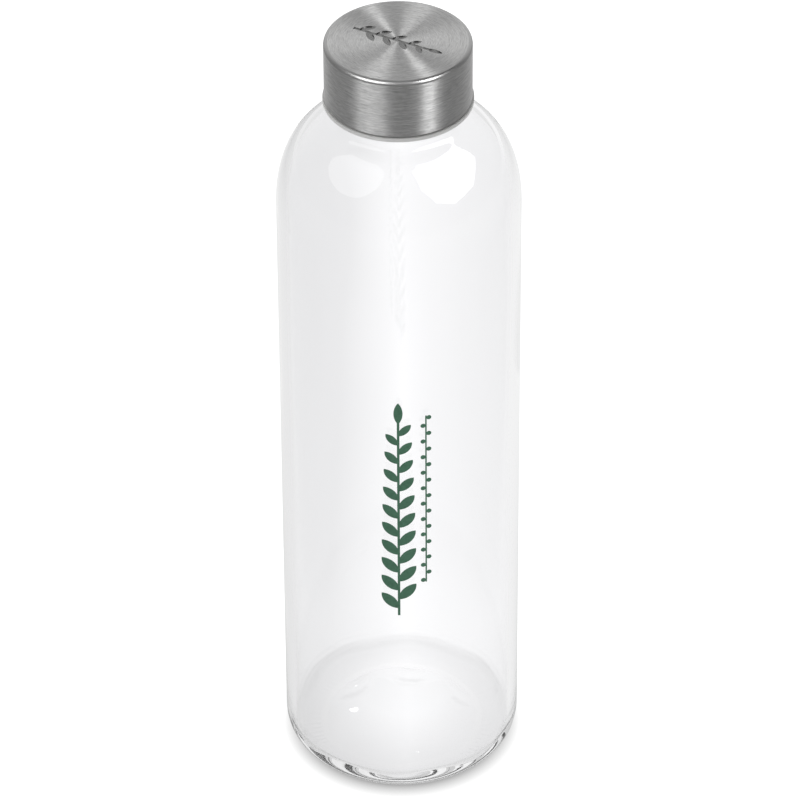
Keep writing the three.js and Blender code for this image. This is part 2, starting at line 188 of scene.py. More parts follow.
def bezier(a, b, c, d, steps):
    """Points of a cubic Bezier curve, both ends included."""
    points = []
    for i in range(steps + 1):
        t = i / steps
        u = 1 - t
        weights = (u * u * u, 3 * u * u * t, 3 * u * t * t, t * t * t)
        x = sum(w * p[0] for w, p in zip(weights, (a, b, c, d)))
        y = sum(w * p[1] for w, p in zip(weights, (a, b, c, d)))
        points.append((x, y))
    return points


def shoulder_height_at(radius):
    reach = BODY_RADIUS - SHOULDER_CROWN_RADIUS
    across = (radius - SHOULDER_CROWN_RADIUS) / reach
    up = (1 - across**SHOULDER_FULLNESS) ** (1 / SHOULDER_FULLNESS)
    return shoulder_start + SHOULDER_HEIGHT * up


def neck_fillet():
    """The hollow curve that carries the shoulder into the neck."""
    foot_radius = NECK_RADIUS + NECK_FILLET_REACH
    foot_height = shoulder_height_at(foot_radius)
    nudge = 0.01
    slope = (shoulder_height_at(foot_radius - nudge) - foot_height) / nudge
    head_height = foot_height + NECK_FILLET_RISE
    hold = 0.55
    return bezier(
        (foot_radius, foot_height),
        (foot_radius - NECK_FILLET_REACH * hold, foot_height + NECK_FILLET_REACH * hold * slope),
        (NECK_RADIUS, head_height - NECK_FILLET_RISE * hold),
        (NECK_RADIUS, head_height),
        60,
    )


def shoulder_and_neck():
    """The outside of the glass from the top of the straight wall to the head of the fillet."""
    reach = BODY_RADIUS - SHOULDER_CROWN_RADIUS
    foot_radius = NECK_RADIUS + NECK_FILLET_REACH
    last_cosine = ((foot_radius - SHOULDER_CROWN_RADIUS) / reach) ** (SHOULDER_FULLNESS / 2)
    last_angle = math.degrees(math.acos(last_cosine))
    centre = (SHOULDER_CROWN_RADIUS, shoulder_start)
    shoulder = round_corner(centre, reach, SHOULDER_HEIGHT, SHOULDER_FULLNESS, 0, last_angle)
    return shoulder[:-1] + neck_fillet()


def moved_left(points, distance):
    """The same line moved square to itself, to the left of its direction of travel."""
    line = np.array(points)
    before = np.vstack([line[:1], line[:-1]])
    after = np.vstack([line[1:], line[-1:]])
    along = after - before
    along /= np.linalg.norm(along, axis=1)[:, None]
    left = np.stack([-along[:, 1], along[:, 0]], axis=1)
    return [tuple(p) for p in line + distance * left]


def resampled(points, spacing):
    """The same line with evenly spaced points, ends kept."""
    line = np.array(points, float)
    lengths = np.linalg.norm(np.diff(line, axis=0), axis=1)
    run = np.concatenate([[0], np.cumsum(lengths)])
    count = max(2, int(round(run[-1] / spacing)) + 1)
    at = np.linspace(0, run[-1], count)
    return list(zip(np.interp(at, run, line[:, 0]), np.interp(at, run, line[:, 1])))


def stretch(points, spacing=None, relief=None):
    """One stretch of an outline with its relief, its points evenly spaced if a spacing is given."""
    return (resampled(points, spacing) if spacing else points, relief)


# ---- Meshes ----


def new_object(name, vertices, faces, sharp_angle=32.0):
    """A smooth-shaded mesh object from millimetre points; edges sharper than the angle stay crisp."""
    mesh = bpy.data.meshes.new(name)
    mesh.from_pydata([tuple(MM * c for c in v) for v in vertices], [], faces)
    mesh.validate()
    mesh.shade_smooth()
    mesh.set_sharp_from_angle(angle=math.radians(sharp_angle))
    obj = bpy.data.objects.new(name, mesh)
    bpy.context.collection.objects.link(obj)
    return obj


def turned(name, stretches, closed=False, segments=ROUND_SEGMENTS, sharp_angle=32.0):
    """Turns an outline about Z. The stretches follow each other, and a relief
    moves the points of its stretch as a function of radius, height and angle. The outline runs with the
    outside on its right, from axis to axis, or round a ring if closed."""
    angles = np.arange(segments) * TURN / segments
    vertices, rows = [], []
    last = None
    for points, relief in stretches:
        for radius, height in points:
            if last and math.dist(last, (radius, height)) < 1e-3:
                continue
            last = (radius, height)
            if radius < 1e-6:
                rows.append([len(vertices)])
                vertices.append((0.0, 0.0, height))
                continue
            r, z = np.full(segments, radius), np.full(segments, height)
            if relief:
                r, z = relief(r, z, angles)
            rows.append(list(range(len(vertices), len(vertices) + segments)))
            vertices.extend(zip(r * np.cos(angles), r * np.sin(angles), z))
    if closed and math.dist(stretches[0][0][0], last) < 1e-3:
        del vertices[rows[-1][0] :]
        rows.pop()
    pairs = list(zip(rows, rows[1:])) + ([(rows[-1], rows[0])] if closed else [])
    faces = []
    for low, high in pairs:
        for j in range(segments):
            k = (j + 1) % segments
            if len(low) == 1:
                faces.append((low[0], high[k], high[j]))
            elif len(high) == 1:
                faces.append((low[j], low[k], high[0]))
            else:
                faces.append((low[j], low[k], high[k], high[j]))
    return new_object(name, vertices, faces, sharp_angle)


# ---- Leaf sprigs, drawn flat with the stem along +Y from the origin ----

LEAF_STEPS = 12
LEAF_BELLY = (0.3, 0.62)  # curve handles of a leaf's edge: share of its length, then of its width
LEAF_POINT = (0.78, 0.5)
BARE_STEM = 0.35  # share of a leaf's length that the stem stays bare at its foot
LEAF_TAPER = 0.35  # how much smaller the pairs get towards the tip
TIP_LEAF_WIDTH = 0.8


def leaf(foot, length, width, lean):
    """The outline of a pointed leaf from a point on the stem. lean is its angle from +X in degrees."""
    along = (math.cos(math.radians(lean)), math.sin(math.radians(lean)))

    def place(share, offset):
        x = foot[0] + along[0] * share * length - along[1] * offset * width
        y = foot[1] + along[1] * share * length + along[0] * offset * width
        return (x, y)

    tip = place(1, 0)
    outward = bezier(foot, place(*LEAF_BELLY), place(*LEAF_POINT), tip, LEAF_STEPS)
    belly, point = (LEAF_BELLY[0], -LEAF_BELLY[1]), (LEAF_POINT[0], -LEAF_POINT[1])
    back = bezier(tip, place(*point), place(*belly), foot, LEAF_STEPS)
    return outward[:-1] + back[:-1]


def stem(width, length):
    half = width / 2
    return [(-half, 0.0), (half, 0.0), (half, length), (-half, length)]


def sprig_outlines(length, stem_width, leaf_length, leaf_width, pairs):
    """A straight stem with pairs of leaves and one leaf at its tip."""
    rise = leaf_length * math.cos(math.radians(LEAF_LEAN))
    tip_leaf_start = length - leaf_length
    bare_stem = BARE_STEM * leaf_length
    spacing = (tip_leaf_start + leaf_length * 0.25 - bare_stem - rise * 0.5) / pairs
    outlines = [stem(stem_width, tip_leaf_start + leaf_length / 2)]
    for i in range(pairs):
        taper = 1 - LEAF_TAPER * (i / pairs) ** 2
        for side in (-1, 1):
            foot = (0.0, bare_stem + spacing * (i + (0.5 if side > 0 else 0)))
            lean = 90 - side * LEAF_LEAN
            outlines.append(leaf(foot, leaf_length * taper, leaf_width * taper, lean))
    outlines.append(leaf((0.0, tip_leaf_start), leaf_length, leaf_width * TIP_LEAF_WIDTH, 90))
    return outlines


def twig_outlines():
    """A thin stem with round berries left and right in turn."""
    outlines = [stem(TWIG_STEM_WIDTH, TWIG_LENGTH)]
    spacing = (TWIG_LENGTH - 2 * TWIG_BERRY_RADIUS) / (TWIG_BERRIES - 1)
    steps = 20
    for i in range(TWIG_BERRIES):
        side = 1 if i % 2 else -1
        centre = (side * TWIG_BERRY_REACH, TWIG_BERRY_RADIUS + spacing * i)
        berry = []
        for k in range(steps):
            angle = TURN * k / steps
            x = centre[0] + TWIG_BERRY_RADIUS * math.cos(angle)
            y = centre[1] + TWIG_BERRY_RADIUS * math.sin(angle)
            berry.append((x, y))
        outlines.append(berry)
    return outlines


def wrapped_print(name, outlines, offset, bottom):
    """The outlines as one thin film of ink round the straight wall, with its stem upright."""
    points, loops = [], []
    for outline in outlines:
        loops.append(list(range(len(points), len(points) + len(outline))))
        points.extend(outline)
    low, high = np.min(points, axis=0), np.max(points, axis=0)
    grid = 0.6  # extra points this far apart keep the film close to the round wall
    for x in np.arange(low[0], high[0], grid):
        for y in np.arange(low[1], high[1], grid * 2):
            points.append((float(x), float(y)))
    inside_only, merge_distance = 1, 1e-4
    corners = [Vector(p) for p in points]
    flat, _, faces, _, _, _ = delaunay_2d_cdt(corners, [], loops, inside_only, merge_distance)
    used = sorted({i for face in faces for i in face})
    renumbered = {old: new for new, old in enumerate(used)}
    flat = [flat[i] for i in used]
    faces = [tuple(renumbered[i] for i in face) for face in faces]

    def on_wall(point, lift):
        radius = BODY_RADIUS + INK_GAP + lift
        angle = math.radians(FRONT) + (point[0] + offset) / BODY_RADIUS
        return (radius * math.cos(angle), radius * math.sin(angle), bottom + point[1])

    count = len(flat)
    vertices = [on_wall(p, INK_THICKNESS) for p in flat] + [on_wall(p, 0) for p in flat]
    solid = list(faces) + [tuple(i + count for i in reversed(face)) for face in faces]
    edges = {(a, b) for f in faces for a, b in zip(f, f[1:] + f[:1])}
    rim = [(a, b) for a, b in edges if (b, a) not in edges]
    solid += [(b, a, a + count, b + count) for a, b in rim]
    return new_object(name, vertices, solid)


# ---- Relief on the glass ----


def eased(share):
    share = np.clip(share, 0, 1)
    return share * share * (3 - 2 * share)


THREAD_FADE_TURNS = 0.1


def thread_share(z, angles, start_height, start_turn, root_width, crest_width):
    """How far a helical thread stands out, 0 to 1, with soft flanks and run-outs. It begins at
    start_height, start_turn turns round from +X."""
    flank = (root_width - crest_width) / 2
    share = np.zeros_like(z)
    for lap in range(-2, 4):  # enough laps for any start and length used here
        turns = angles / TURN + lap - start_turn
        across = np.abs(z - (start_height + THREAD_PITCH * turns))
        body = eased((crest_width / 2 + flank - across) / flank)
        inside = (turns >= 0) & (turns <= THREAD_TURNS)
        fade = eased(np.minimum(turns, THREAD_TURNS - turns) / THREAD_FADE_TURNS)
        share = np.maximum(share, np.where(inside, body * fade, 0))
    return share


def thread_relief(r, z, angles):
    """Lifts the neck wall to the glass thread."""
    share = thread_share(z, angles, lowest_glass_turn, 0, THREAD_ROOT_WIDTH, THREAD_CREST_WIDTH)
    return r + THREAD_DEPTH * share, z


KNURL_MARKS = 84
KNURL_DEPTH = 0.07
KNURL_OUTSET = 1  # from the outside of the resting ring to the middle of the marks
KNURL_REACH = 1.7
KNURL_FADE = 0.9


def knurl_relief(r, z, angles):
    """Short radial marks round the resting ring; their crests are what the bottle stands on."""
    middle = ring_outer_radius + KNURL_OUTSET
    window = eased((KNURL_REACH - np.abs(r - middle)) / KNURL_FADE)
    wave = 0.5 + 0.5 * np.cos(KNURL_MARKS * angles)
    return r, z + KNURL_DEPTH * window * wave**2


class Ripple:
    """A smooth seeded ripple over angle and height, about -1 to 1."""

    def __init__(self, seed, terms, fewest, most, per_mm):
        dice = random.Random(seed)
        self.terms = []
        for _ in range(terms):
            waves = dice.randint(fewest, most)
            climb = dice.uniform(-per_mm, per_mm)
            self.terms.append((waves, climb, dice.uniform(0, TURN)))

    def __call__(self, angles, height):
        total = sum(np.cos(n * angles + climb * height + p) for n, climb, p in self.terms)
        return total / math.sqrt(len(self.terms))


wall_ripple = Ripple(seed=11, terms=9, fewest=2, most=7, per_mm=0.08)
WALL_RIPPLE = 0.05
HEEL_RIPPLE = 0.9


def inner_wall_relief(r, z, angles):
    """Blown glass: the inside wall is never quite even."""
    fade = 20
    even_below_shoulder = 4
    even_base = 20
    from_shoulder = eased((shoulder_start - even_below_shoulder - z) / fade)
    from_heel = eased((z - even_base) / fade)
    return r + WALL_RIPPLE * from_shoulder * from_heel * wall_ripple(angles, z), z


def heel_ripple(angles):
    """The uneven edge of the inner floor: seven swells over a weaker, slower three."""
    seven = np.cos(7 * (angles - math.radians(83)))
    three = np.cos(3 * (angles - math.radians(140)))
    return 0.75 * seven + 0.25 * three


def inner_heel_relief(r, z, angles):
    """The glass settles unevenly where the wall runs into the floor."""
    even_radius = 15
    growth = 13
    from_wall = eased((inner_heel_top - z) / INNER_HEEL_HEIGHT)
    from_middle = eased((r - even_radius) / growth)
    lift = HEEL_RIPPLE * from_wall * from_middle * heel_ripple(angles)
    return r, z + lift


# ---- Node helpers ----


class Nodes:
    """Short names for building a node tree."""

    def __init__(self, tree):
        self.tree = tree
        self.tree.nodes.clear()

    def add(self, kind, **settings):
        node = self.tree.nodes.new(kind)
        for key, value in settings.items():
            setattr(node, key, value)
        return node

    def link(self, source, target):
        self.tree.links.new(source, target)

    def math(self, operation, a, b=0.0):
        node = self.add("ShaderNodeMath", operation=operation)
        for socket, value in zip(node.inputs, (a, b)):
            if isinstance(value, (int, float)):
                socket.default_value = value
            else:
                self.link(value, socket)
        return node.outputs[0]

    def length(self, a, b):
        """The length of the flat vector (a, b)."""
        return self.math("SQRT", self.math("ADD", self.math("MULTIPLY", a, a), self.math("MULTIPLY", b, b)))

    def ranged(self, value, low, high, to_low, to_high):
        node = self.add("ShaderNodeMapRange")
        self.link(value, node.inputs["Value"])
        names = ("From Min", "From Max", "To Min", "To Max")
        for name, number in zip(names, (low, high, to_low, to_high)):
            node.inputs[name].default_value = number
        return node.outputs["Result"]

    def noise(self, vector, scale, detail=3.0, roughness=0.5):
        node = self.add("ShaderNodeTexNoise")
        node.inputs["Scale"].default_value = scale
        node.inputs["Detail"].default_value = detail
        node.inputs["Roughness"].default_value = roughness
        self.link(vector, node.inputs["Vector"])
        return node.outputs["Fac"]

    def ramp(self, value, stops):
        node = self.add("ShaderNodeValToRGB")
        elements = node.color_ramp.elements
        while len(elements) < len(stops):
            elements.new(0.5)
        for element, (place, colour) in zip(elements, stops):
            element.position = place
            element.color = (*colour, 1)
        self.link(value, node.inputs["Fac"])
        return node.outputs["Color"]

    def bump(self, height, strength, distance):
        node = self.add("ShaderNodeBump")
        node.inputs["Strength"].default_value = strength
        node.inputs["Distance"].default_value = distance
        self.link(height, node.inputs["Height"])
        return node.outputs["Normal"]


def new_material(name):
    """A material with a principled shader; returns the material, its nodes and the shader."""
    material = bpy.data.materials.new(name)
    material.use_nodes = True
    nodes = Nodes(material.node_tree)
    output = nodes.add("ShaderNodeOutputMaterial")
    shader = nodes.add("ShaderNodeBsdfPrincipled")
    nodes.link(shader.outputs["BSDF"], output.inputs["Surface"])
    return material, nodes, shader


def object_place(nodes):
    return nodes.add("ShaderNodeTexCoord").outputs["Object"]


# A noise stays mostly between these two.
NOISE_LOW = 0.3
NOISE_HIGH = 0.7
GRAIN_DEPTH = 0.00002


def tint(nodes, shader, noise, dark, light, low=NOISE_LOW, high=NOISE_HIGH):
    """Takes the base colour from dark to light as the noise rises."""
    nodes.link(nodes.ramp(noise, [(low, dark), (high, light)]), shader.inputs["Base Color"])


def roughen(nodes, shader, noise, smooth, rough):
    nodes.link(nodes.ranged(noise, NOISE_LOW, NOISE_HIGH, smooth, rough), shader.inputs["Roughness"])


def grain_bump(nodes, shader, noise, strength):
    nodes.link(nodes.bump(noise, strength, GRAIN_DEPTH), shader.inputs["Normal"])


# ---- Materials ----


def glass_material():
    """Clear soda-lime glass with the faintest uneven tint."""
    material, nodes, shader = new_material("clear_glass")
    cloud = nodes.noise(object_place(nodes), 22.0, 2.0)
    tint(nodes, shader, cloud, (0.984, 0.984, 0.990), (0.989, 0.989, 0.995))
    shader.inputs["Transmission Weight"].default_value = 1.0
    shader.inputs["Roughness"].default_value = 0.012
    shader.inputs["IOR"].default_value = 1.5
    return material


def ink_material():
    """Fired dark green print: satin, slightly uneven in cover, with a fine tooth."""
    material, nodes, shader = new_material("green_ink")
    place = object_place(nodes)
    cover = nodes.noise(place, 900.0, 4.0, 0.6)
    tint(nodes, shader, cover, (0.036, 0.112, 0.066), (0.052, 0.148, 0.090))
    tooth = nodes.noise(place, 4200.0, 2.0)
    roughen(nodes, shader, tooth, 0.42, 0.58)
    grain_bump(nodes, shader, tooth, 0.15)
    return material


def spun_place(nodes, along, across):
    """Coordinates that run along the brushing slowly and across it fast. Both are per metre."""
    split = nodes.add("ShaderNodeSeparateXYZ")
    nodes.link(object_place(nodes), split.inputs[0])
    x, y, z = split.outputs
    radius = nodes.length(x, y)
    least_radius = 0.0005  # nothing is divided by zero on the axis
    safe = nodes.math("MAXIMUM", radius, least_radius)
    reach = shell_radius * MM * along
    round_x = nodes.math("MULTIPLY", nodes.math("DIVIDE", x, safe), reach)
    round_y = nodes.math("MULTIPLY", nodes.math("DIVIDE", y, safe), reach)
    steps = nodes.math("MULTIPLY", nodes.math("SUBTRACT", radius, z), across)
    joined = nodes.add("ShaderNodeCombineXYZ")
    for source, target in zip((round_x, round_y, steps), joined.inputs):
        nodes.link(source, target)
    return joined.outputs[0]


def brushed_steel():
    """Stainless steel spun-brushed round the axis: fine grooves, streaks along them, soft wear."""
    material, nodes, shader = new_material("brushed_steel")
    fine = nodes.noise(spun_place(nodes, 400.0, 6200.0), 1.0, 3.0, 0.65)
    broad = nodes.noise(spun_place(nodes, 130.0, 2600.0), 1.0, 2.0, 0.5)
    mixed = nodes.math("ADD", nodes.math("MULTIPLY", fine, 0.75), nodes.math("MULTIPLY", broad, 0.25))
    tint(nodes, shader, mixed, (0.46, 0.46, 0.457), (0.81, 0.81, 0.805), 0.35, 0.65)
    roughen(nodes, shader, mixed, 0.36, 0.46)
    shader.inputs["Metallic"].default_value = 1.0
    shader.inputs["Anisotropic"].default_value = 0.95
    shader.inputs["Anisotropic Rotation"].default_value = 0.25
    tangent = nodes.add("ShaderNodeTangent", direction_type="RADIAL", axis="Z")
    nodes.link(tangent.outputs[0], shader.inputs["Tangent"])
    grain_bump(nodes, shader, fine, 0.12)
    return material


def pressed_steel_painted_shade():
    """The pressed motif: satin, because the brush does not reach down into it, and painted dark for the
    shade in its recesses.
    """
    material, nodes, shader = new_material("pressed_steel_painted_shade")
    grain = nodes.noise(object_place(nodes), 2600.0, 3.0, 0.6)
    # painted shade: the motif's steel is coloured far darker than the brushed steel, standing in for shade
    # in the pressed recesses
    tint(nodes, shader, grain, (0.20, 0.20, 0.199), (0.30, 0.30, 0.298))
    roughen(nodes, shader, grain, 0.24, 0.34)
    shader.inputs["Metallic"].default_value = 1.0
    return material


def polished_steel():
    """The bright turned edge of the shell."""
    material, nodes, shader = new_material("polished_steel")
    fine = nodes.noise(spun_place(nodes, 90.0, 9000.0), 1.0, 2.0)
    tint(nodes, shader, fine, (0.45, 0.45, 0.447), (0.53, 0.53, 0.527))
    roughen(nodes, shader, fine, 0.3, 0.38)
    shader.inputs["Metallic"].default_value = 1.0
    return material


def liner_material():
    """Milky moulded polypropylene."""
    material, nodes, shader = new_material("milky_plastic")
    place = object_place(nodes)
    cloud = nodes.noise(place, 120.0, 3.0)
    tint(nodes, shader, cloud, (0.66, 0.66, 0.65), (0.74, 0.74, 0.73))
    grain = nodes.noise(place, 5200.0, 2.0)
    roughen(nodes, shader, grain, 0.34, 0.46)
    grain_bump(nodes, shader, grain, 0.2)
    shader.inputs["Subsurface Weight"].default_value = 0.25
    shader.inputs["Subsurface Radius"].default_value = (1.0, 1.0, 1.0)
    shader.inputs["Subsurface Scale"].default_value = 0.0008
    return material


def gasket_material():
    """Matt translucent silicone."""
    material, nodes, shader = new_material("silicone")
    place = object_place(nodes)
    cloud = nodes.noise(place, 300.0, 3.0)
    tint(nodes, shader, cloud, (0.80, 0.80, 0.77), (0.86, 0.86, 0.83))
    grain = nodes.noise(place, 3800.0, 2.0)
    roughen(nodes, shader, grain, 0.55, 0.7)
    return material


def glue_material():
    """Set bonding glue, hidden between steel and plastic."""
    material, nodes, shader = new_material("set_glue")
    place = object_place(nodes)
    cloud = nodes.noise(place, 260.0, 4.0)
    tint(nodes, shader, cloud, (0.55, 0.50, 0.36), (0.64, 0.59, 0.45))
    roughen(nodes, shader, cloud, 0.3, 0.5)
    return material


# ---- Pieces ----


def finish_piece(obj, body, node, slot, *materials):
    for material in materials:
        obj.data.materials.append(material)
    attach(obj, body)
    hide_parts(node)
    return obj


def make_bottle():
    punt = dome(PUNT_RADIUS, 0, PUNT_RISE)
    ring = [(PUNT_RADIUS, 0.0), (ring_outer_radius, 0.0)]
    heel_centre = (ring_outer_radius, HEEL_HEIGHT)
    heel = round_corner(heel_centre, HEEL_REACH, HEEL_HEIGHT, HEEL_FULLNESS, -90, 0)
    wall = [(BODY_RADIUS, HEEL_HEIGHT), (BODY_RADIUS, shoulder_start)]
    upper = shoulder_and_neck()
    inner_upper = moved_left(upper, GLASS_WALL)[::-1]
    inner_upper[0] = (bore_radius, inner_upper[0][1])
    inner_upper[-1] = (inner_wall_radius, inner_upper[-1][1])
    lip_low = LIP_HEIGHT - LIP_ROUNDING
    neck = [upper[-1], (NECK_RADIUS, lip_low)]
    lip_out = arc((NECK_RADIUS - LIP_ROUNDING, lip_low), LIP_ROUNDING, 0, 90)
    lip_in = arc((bore_radius + LIP_ROUNDING, lip_low), LIP_ROUNDING, 90, 180)
    bore = [(bore_radius, lip_low), inner_upper[0]]
    inner_wall = [inner_upper[-1], (inner_wall_radius, inner_heel_top)]
    heel_centre = (inner_floor_radius, inner_heel_top)
    inner_heel = round_corner(heel_centre, INNER_HEEL_REACH, INNER_HEEL_HEIGHT, 2, 0, -90)
    floor = dome(inner_floor_radius, inner_floor_edge, INNER_FLOOR_CROWN)[::-1]
    stretches = [
        stretch(punt, 0.8, knurl_relief),
        stretch(ring, 0.4, knurl_relief),
        stretch(heel, 0.5, knurl_relief),
        stretch(wall, 4.0),
        stretch(upper, 0.6),
        stretch(neck, 0.28, thread_relief),
        stretch(lip_out, 0.25),
        stretch(lip_in, 0.25),
        stretch(bore, 2.0),
        stretch(inner_upper, 0.7),
        stretch(inner_wall, 3.0, inner_wall_relief),
        stretch(inner_heel, 0.45, inner_heel_relief),
        stretch(floor, 0.8, inner_heel_relief),
    ]
    bottle = turned("bottle_glass", stretches, sharp_angle=80.0)
    return finish_piece(bottle, "bottle", "glass_bottle", "glass", glass_material())


def make_prints():
    ink = ink_material()
    sprig = sprig_outlines(
        SPRIG_LENGTH, SPRIG_STEM_WIDTH, SPRIG_LEAF_LENGTH, SPRIG_LEAF_WIDTH, SPRIG_LEAF_PAIRS
    )
    large = wrapped_print("ink_sprig", sprig, SPRIG_OFFSET, SPRIG_BOTTOM)
    small = wrapped_print("ink_twig", twig_outlines(), TWIG_OFFSET, TWIG_BOTTOM)
    finish_piece(large, "bottle", "print_sprig", "ink", ink)
    finish_piece(small, "bottle", "print_twig", "ink", ink)
    return [large, small]


def inset(outline, distance):
    """A closed outline moved inwards along its corners' own directions. It runs anticlockwise."""
    line = np.array(outline)
    before = line - np.roll(line, 1, axis=0)
    after = np.roll(line, -1, axis=0) - line
    before /= np.linalg.norm(before, axis=1)[:, None]
    after /= np.linalg.norm(after, axis=1)[:, None]
    along = before + after
    length = np.linalg.norm(along, axis=1)[:, None]
    along = np.where(length > 1e-6, along / np.maximum(length, 1e-6), after)
    left = np.stack([-along[:, 1], along[:, 0]], axis=1)
    return [tuple(p) for p in line + distance * left]


def anticlockwise(outline):
    area = sum(a[0] * b[1] - b[0] * a[1] for a, b in zip(outline, outline[1:] + outline[:1]))
    return outline if area > 0 else outline[::-1]


def press_cutter(name, outlines):
    """Tapered cutters for a pressed motif, one closed solid for each outline."""
    overcut = 0.3  # above the steel
    spread = DEBOSS_SLOPE * overcut / DEBOSS_DEPTH
    turn = math.radians(DEBOSS_ANGLE + FRONT)
    vertices, faces = [], []
    for outline in outlines:
        outline = anticlockwise(outline)
        start = len(vertices)
        levels = (
            (inset(outline, DEBOSS_SLOPE), shell_top - DEBOSS_DEPTH),
            (inset(outline, -spread), shell_top + overcut),
        )
        for points, height in levels:
            for x, y in points:
                y -= DEBOSS_LENGTH / 2
                turned_x = x * math.cos(turn) - y * math.sin(turn)
                turned_y = x * math.sin(turn) + y * math.cos(turn)
                vertices.append((turned_x, turned_y, height))
        count = len(outline)
        faces.append(tuple(start + i for i in reversed(range(count))))
        faces.append(tuple(start + count + i for i in range(count)))
        for i in range(count):
            k = (i + 1) % count
            faces.append((start + i, start + k, start + count + k, start + count + i))
    return new_object(name, vertices, faces)


def cut_away(obj, cutter):
    """Takes the cutter out of obj and removes the cutter."""
    modifier = obj.modifiers.new("cut", "BOOLEAN")
    modifier.operation = "DIFFERENCE"
    modifier.solver = "EXACT"
    modifier.use_self = True
    modifier.object = cutter
    bpy.context.view_layer.update()
    graph = bpy.context.evaluated_depsgraph_get()
    mesh = bpy.data.meshes.new_from_object(obj.evaluated_get(graph))
    obj.modifiers.clear()
    obj.data = mesh
    bpy.data.objects.remove(cutter, do_unlink=True)


def make_shell():
    hem = 0.2
    support = 0.4  # a ring of points this far inside the rim keeps its shading off the flat top
    rounding = RIM_ROUNDING - SHEET_THICKNESS
    inner_edge = (shell_inner_radius - rounding, shell_ceiling - rounding)
    flat_edge = shell_radius - RIM_ROUNDING
    outer_edge = (flat_edge, shell_top - RIM_ROUNDING)
    hem_in = (shell_inner_radius + hem, shell_bottom + hem)
    hem_out = (shell_radius - hem, shell_bottom + hem)
    stretches = [
        stretch([(0, shell_ceiling), (inner_edge[0], shell_ceiling)], 2.5),
        stretch(arc(inner_edge, rounding, 90, 0), 0.15),
        stretch([(shell_inner_radius, inner_edge[1]), (shell_inner_radius, hem_in[1])], 2.0),
        stretch(arc(hem_in, hem, 180, 270), 0.06),
        stretch(arc(hem_out, hem, -90, 0), 0.06),
        stretch([(shell_radius, hem_out[1]), (shell_radius, outer_edge[1])], 1.0),
        stretch(arc(outer_edge, RIM_ROUNDING, 0, 90), 0.12),
        stretch([(flat_edge, shell_top), (flat_edge - support, shell_top), (0, shell_top)], 1.6),
    ]
    shell = turned("steel_shell", stretches)
    motif = sprig_outlines(
        DEBOSS_LENGTH, DEBOSS_STEM_WIDTH, DEBOSS_LEAF_LENGTH, DEBOSS_LEAF_WIDTH, DEBOSS_LEAF_PAIRS
    )
    cut_away(shell, press_cutter("press_cutter", motif))
    shell.data.shade_smooth()
    crisp_angle = 24
    shell.data.set_sharp_from_angle(angle=math.radians(crisp_angle))
    shell.data.materials.clear()
    metals = (brushed_steel(), polished_steel(), pressed_steel_painted_shade())
    finish_piece(shell, "cap", "cap_shell", "steel", *metals)
    # A face's metal follows from where its middle lies, with a little slack at each border.
    rim_slack, side_slack, hem_slack, depth_slack = 0.12, 0.05, 0.02, 0.01
    rim_inner = (flat_edge + rim_slack) * MM
    rim_low = (shell_top - RIM_ROUNDING + side_slack) * MM
    hem_high = (shell_bottom + hem + hem_slack) * MM
    pressed_low = (shell_top - DEBOSS_DEPTH * (1 + depth_slack)) * MM
    pressed_high = (shell_top - DEBOSS_DEPTH * depth_slack) * MM
    for face in shell.data.polygons:
        x, y, z = face.center
        radius = math.hypot(x, y)
        on_rim = radius > rim_inner and z > rim_low
        on_hem = radius > shell_inner_radius * MM and z < hem_high
        in_motif = radius < rim_inner and pressed_low < z < pressed_high
        # faces of the pressed motif take the steel painted dark for shade
        face.material_index = 2 if in_motif else int(on_rim or on_hem)
    return shell


def glass_thread_width(radius):
    share = (radius - NECK_RADIUS) / THREAD_DEPTH
    return THREAD_ROOT_WIDTH + (THREAD_CREST_WIDTH - THREAD_ROOT_WIDTH) * share


def liner_thread_relief(r, z, angles):
    """Draws the liner's bore in to its own thread, half a pitch below the glass thread."""
    crest = NECK_RADIUS + THREAD_RADIAL_CLEARANCE
    gaps = 2 * THREAD_AXIAL_CLEARANCE
    root_width = THREAD_PITCH - glass_thread_width(liner_bore_radius) - gaps
    crest_width = THREAD_PITCH - glass_thread_width(crest) - gaps
    start_height = flange_bottom + LINER_THREAD_INSET
    start_turn = (start_height - lowest_glass_turn) / THREAD_PITCH + 0.5
    share = thread_share(z, angles, start_height, start_turn, root_width, crest_width)
    return r - (liner_bore_radius - crest) * share, z


def make_liner():
    rounding = LINER_EDGE_ROUNDING
    locator_inner = locator_radius - LOCATOR_WIDTH
    flange_edge = (flange_radius - rounding, flange_bottom + rounding)
    top_edge = (liner_radius - rounding, liner_top - rounding)
    bore = [(liner_bore_radius, liner_ceiling), (liner_bore_radius, flange_bottom)]
    soft = 0.15
    stretches = [
        stretch([(0, liner_ceiling), (locator_inner, liner_ceiling)]),
        stretch([(locator_inner, liner_ceiling), (locator_inner, gasket_bottom)]),
        stretch([(locator_inner, gasket_bottom), (locator_radius, gasket_bottom)]),
        stretch([(locator_radius, gasket_bottom), (locator_radius, liner_ceiling)]),
        stretch([(locator_radius, liner_ceiling), (liner_bore_radius, liner_ceiling)]),
        stretch(bore, 0.28, liner_thread_relief),
        stretch([(liner_bore_radius, flange_bottom), (flange_edge[0], flange_bottom)], 1.0),
        stretch(arc(flange_edge, rounding, -90, 0), 0.1),
        stretch(arc((flange_radius - soft, flange_top - soft), soft, 0, 90), 0.05),
        stretch([(flange_radius - soft, flange_top), (liner_radius, flange_top)]),
        stretch([(liner_radius, flange_top), (liner_radius, top_edge[1])], 3.0),
        stretch(arc(top_edge, rounding, 0, 90), 0.1),
        stretch([(top_edge[0], liner_top), (0, liner_top)]),
    ]
    liner = turned("plastic_liner", stretches)
    return finish_piece(liner, "cap", "cap_liner", "plastic", liner_material())


